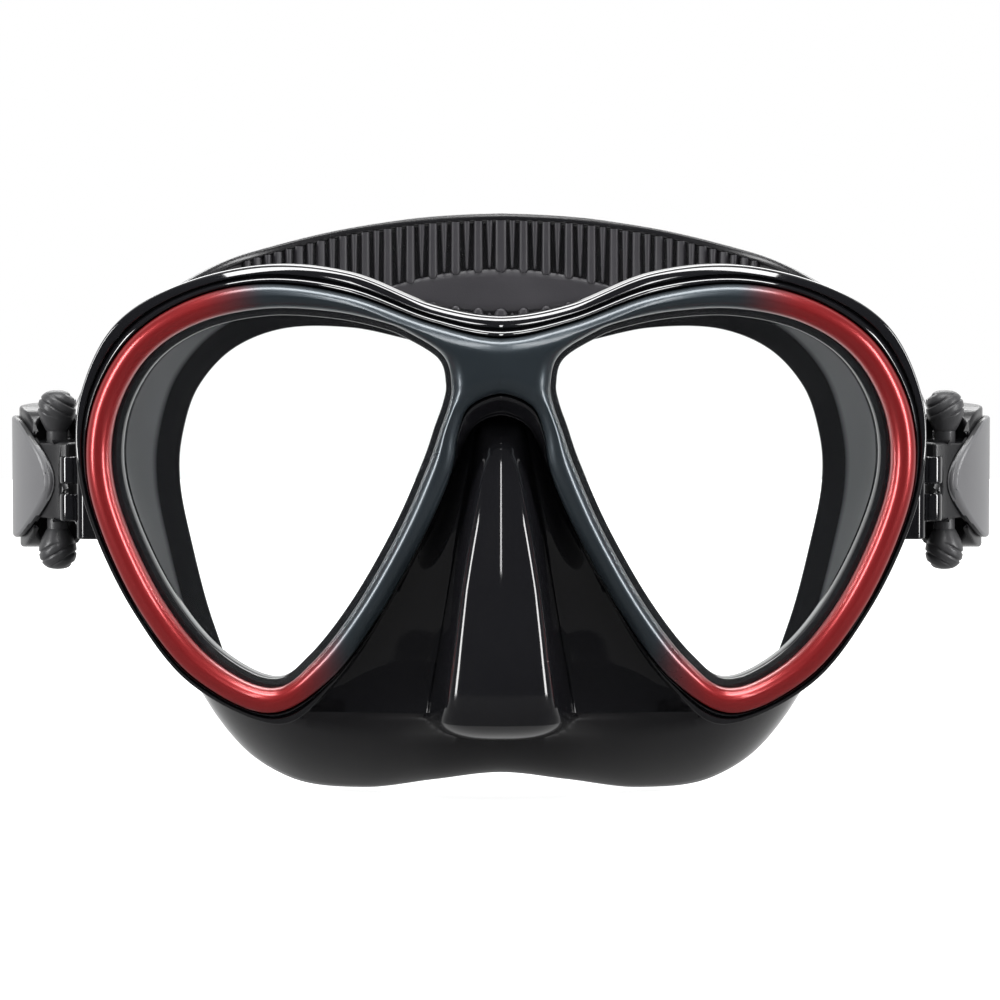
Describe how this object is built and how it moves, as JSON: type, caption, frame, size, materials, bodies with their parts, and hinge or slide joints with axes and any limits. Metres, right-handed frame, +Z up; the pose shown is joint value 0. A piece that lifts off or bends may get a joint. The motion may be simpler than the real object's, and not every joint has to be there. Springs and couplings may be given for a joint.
{
  "type": "diving mask",
  "caption": "Low-volume diving mask with separate flat lenses, a clamped silicone skirt with a nose pocket, and a head strap on swivelling squeeze buckles.",
  "frame": {"origin": "in the plane of the face seal at the middle of the mask, on the level of the frame's temples", "axes": "-Y out through the lenses, +X to the wearer's left, +Z up"},
  "size_m": [0.199, 0.1804, 0.1145],
  "materials": {
    "skirt_silicone": "glossy black silicone",
    "frame_black": "glossy black",
    "bezel_paint": "satin metallic, gunmetal at the bridge fading to red at the temples",
    "lens_glass": "clear tempered glass",
    "buckle_grey": "satin dark grey",
    "cover_grey": "satin grey",
    "button_grey": "satin charcoal",
    "roller_black": "glossy",
    "steel": "brushed",
    "strap_silicone": "semi-matte black silicone"
  },
  "bodies": {
    "mask": {"skirt": "skirt_silicone", "main_frame": "frame_black", "front_bezel": "bezel_paint", "lens_left": "lens_glass", "lens_right": "lens_glass", "bracket_left": "frame_black", "bracket_right": "frame_black", "pivot_pin_left": "steel", "pivot_pin_right": "steel"},
    "headband": {"strap": "strap_silicone", "buckle_body_left": "buckle_grey", "buckle_body_right": "buckle_grey", "buckle_cover_left": "cover_grey", "buckle_cover_right": "cover_grey", "button_spring_upper_left": "steel", "button_spring_upper_right": "steel", "button_spring_lower_left": "steel", "button_spring_lower_right": "steel", "roller_pin_left": "steel", "roller_pin_right": "steel"},
    "roller_left": {"strap_roller_left": "roller_black"},
    "button_upper_left": {"release_button_upper_left": "button_grey"},
    "button_lower_left": {"release_button_lower_left": "button_grey"},
    "roller_right": {"strap_roller_right": "roller_black"},
    "button_upper_right": {"release_button_upper_right": "button_grey"},
    "button_lower_right": {"release_button_lower_right": "button_grey"}
  },
  "joints": [
    {"name": "strap_swing", "type": "hinge", "parent": "mask", "child": "headband", "pos_m": [0, 0.002, -0.0035], "axis": [1, 0, 0], "range_deg": [-30, 30]},
    {"name": "roller_spin_left", "type": "hinge", "parent": "headband", "child": "roller_left", "pos_m": [-0.0938, 0.01885, -0.0035], "axis": [0, 0, 1], "continuous": true},
    {"name": "button_upper_left", "type": "slide", "parent": "headband", "child": "button_upper_left", "axis": [0, 0, -1], "range_m": [0, 0.0015], "stiffness_N_per_m": 1200, "springref_m": -0.0008, "deforming": ["button_spring_upper_left"]},
    {"name": "button_lower_left", "type": "slide", "parent": "headband", "child": "button_lower_left", "axis": [0, 0, 1], "range_m": [0, 0.0015], "stiffness_N_per_m": 1200, "springref_m": -0.0008, "deforming": ["button_spring_lower_left"]},
    {"name": "roller_spin_right", "type": "hinge", "parent": "headband", "child": "roller_right", "pos_m": [0.0938, 0.01885, -0.0035], "axis": [0, 0, 1], "continuous": true},
    {"name": "button_upper_right", "type": "slide", "parent": "headband", "child": "button_upper_right", "axis": [0, 0, -1], "range_m": [0, 0.0015], "stiffness_N_per_m": 1200, "springref_m": -0.0008, "deforming": ["button_spring_upper_right"]},
    {"name": "button_lower_right", "type": "slide", "parent": "headband", "child": "button_lower_right", "axis": [0, 0, 1], "range_m": [0, 0.0015], "stiffness_N_per_m": 1200, "springref_m": -0.0008, "deforming": ["button_spring_lower_right"]}
  ]
}
